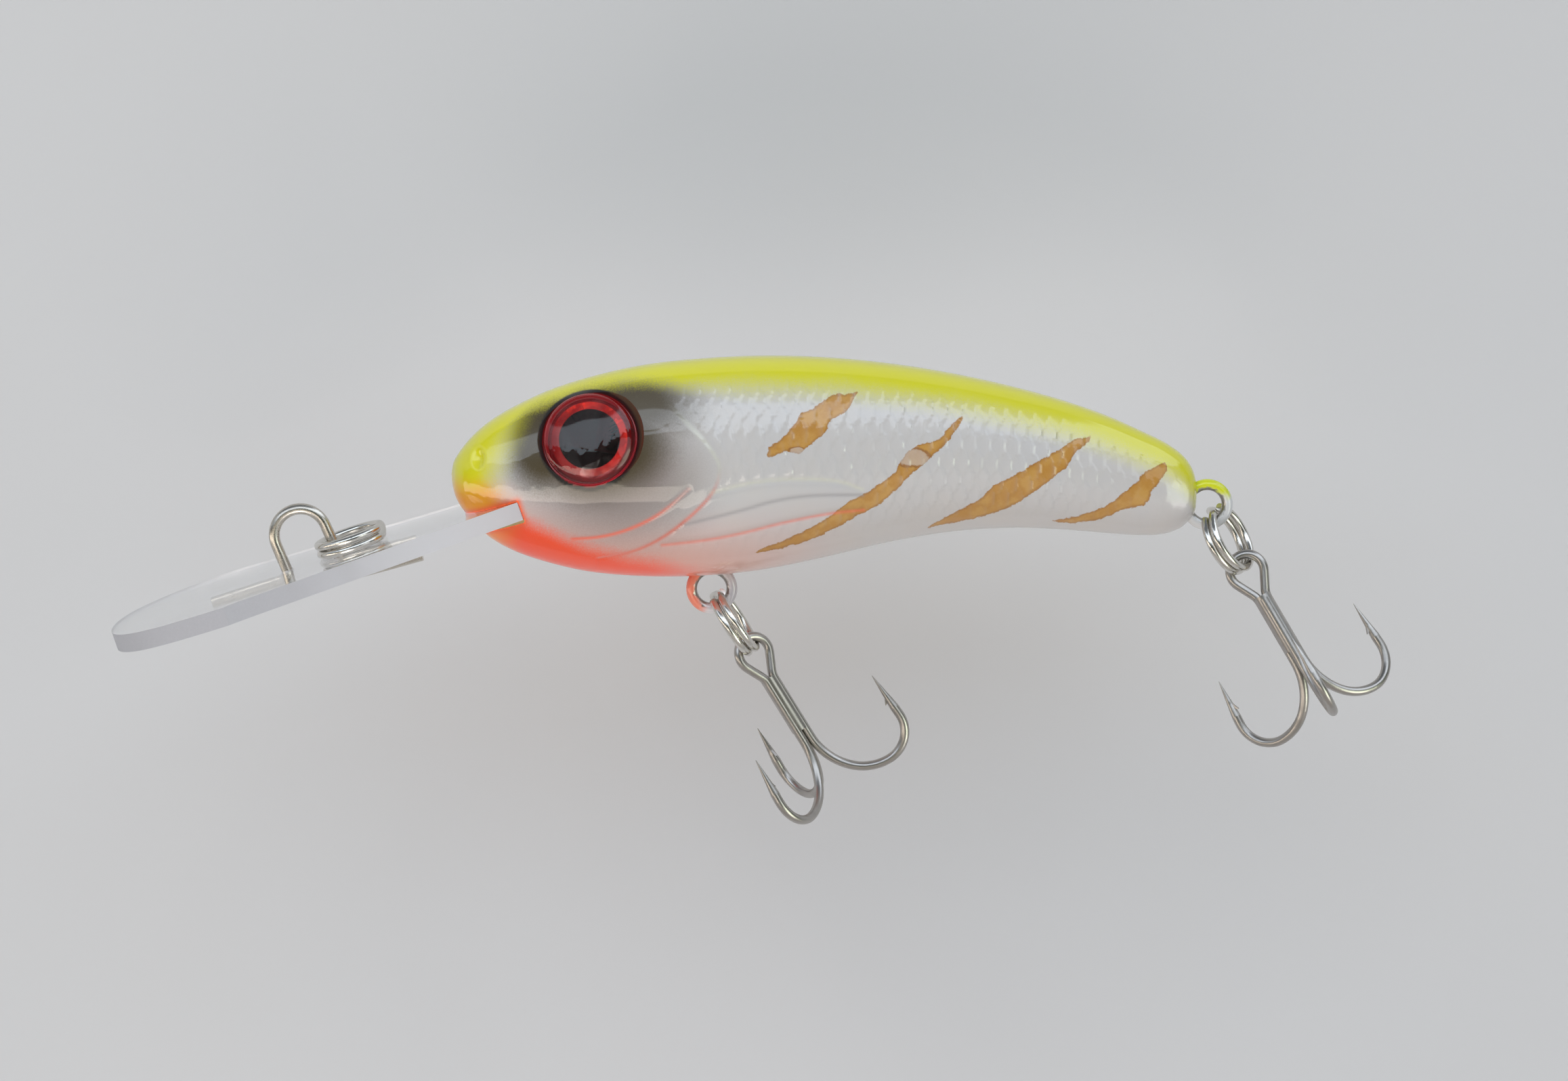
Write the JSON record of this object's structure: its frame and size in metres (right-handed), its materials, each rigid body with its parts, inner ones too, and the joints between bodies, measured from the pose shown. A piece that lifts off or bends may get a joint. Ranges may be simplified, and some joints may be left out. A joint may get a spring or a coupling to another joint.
{
  "type": "crankbait fishing lure",
  "caption": "Deep-diving fishing lure: fish-shaped hollow body with domed eyes, a clear diving bib, a tow wire, split rings and treble hooks.",
  "frame": {"origin": "centre of the tow wire's loop, where the line is tied", "axes": "+X from the nose to the tail, +Y to the lure's right side, +Z to the lure's back"},
  "size_m": [0.1384, 0.0271, 0.0497],
  "materials": {
    "body_paint": "pearl flanks, fluorescent yellow back, orange throat, under clear coat",
    "eye_resin": "dark clear resin dome",
    "eye_foil": "red holographic foil with a black pupil",
    "clear_bib": "clear polycarbonate, frosted cut edges",
    "glue": "cured clear adhesive, slightly yellow",
    "stainless_wire": "drawn stainless wire",
    "painted_wire": "body paint over wire, worn bare inside the loop",
    "ring_steel": "bright stainless",
    "hook_nickel": "black nickel plate",
    "braze_metal": "plated brazing metal",
    "ballast_steel": "plain steel slug",
    "rattle_steel": "ground steel ball"
  },
  "bodies": {
    "lure_body": {"body_shell_left": "body_paint", "body_shell_right": "body_paint", "left_eye_dome": "eye_resin", "right_eye_dome": "eye_resin", "left_eye_foil": "eye_foil", "right_eye_foil": "eye_foil", "diving_bib": "clear_bib", "bib_glue_bead": "glue", "tow_wire": "stainless_wire", "belly_hanger": "painted_wire", "tail_hanger": "painted_wire", "belly_ballast": "ballast_steel"},
    "tow_ring": {"tow_split_ring": "ring_steel"},
    "belly_ring": {"belly_split_ring": "ring_steel"},
    "tail_ring": {"tail_split_ring": "ring_steel"},
    "belly_treble": {"belly_treble_double_hook": "hook_nickel", "belly_treble_single_hook": "hook_nickel", "belly_treble_braze": "braze_metal"},
    "tail_treble": {"tail_treble_double_hook": "hook_nickel", "tail_treble_single_hook": "hook_nickel", "tail_treble_braze": "braze_metal"},
    "front_rattle": {"front_rattle_ball": "rattle_steel"},
    "rear_rattle": {"rear_rattle_ball": "rattle_steel"}
  },
  "joints": [
    {"name": "tow_ring_swing", "type": "hinge", "parent": "lure_body", "child": "tow_ring", "pos_m": [0.00209, 0, -0.00151], "axis": [0, -1, 0], "range_deg": [0, 125]},
    {"name": "belly_ring_swing", "type": "hinge", "parent": "lure_body", "child": "belly_ring", "pos_m": [0.04447, 0, -0.00407], "axis": [0, 1, 0], "range_deg": [-35, 85]},
    {"name": "belly_treble_swing", "type": "hinge", "parent": "belly_ring", "child": "belly_treble", "pos_m": [0.04702, 0, -0.00767], "axis": [0.8161, 0, 0.5779], "range_deg": [-60, 60]},
    {"name": "tail_ring_swing", "type": "hinge", "parent": "lure_body", "child": "tail_ring", "pos_m": [0.09737, 0, 0.0072], "axis": [0, 1, 0], "range_deg": [-100, 30]},
    {"name": "tail_treble_swing", "type": "hinge", "parent": "tail_ring", "child": "tail_treble", "pos_m": [0.09981, 0, 0.00353], "axis": [0.7667, -0.3907, 0.5094], "range_deg": [-60, 60]},
    {"name": "front_rattle_slide", "type": "slide", "parent": "lure_body", "child": "front_rattle", "axis": [1, 0, 0], "range_m": [-0.0025, 0.0025]},
    {"name": "rear_rattle_slide", "type": "slide", "parent": "lure_body", "child": "rear_rattle", "axis": [1, 0, 0], "range_m": [-0.0025, 0.0025]}
  ]
}
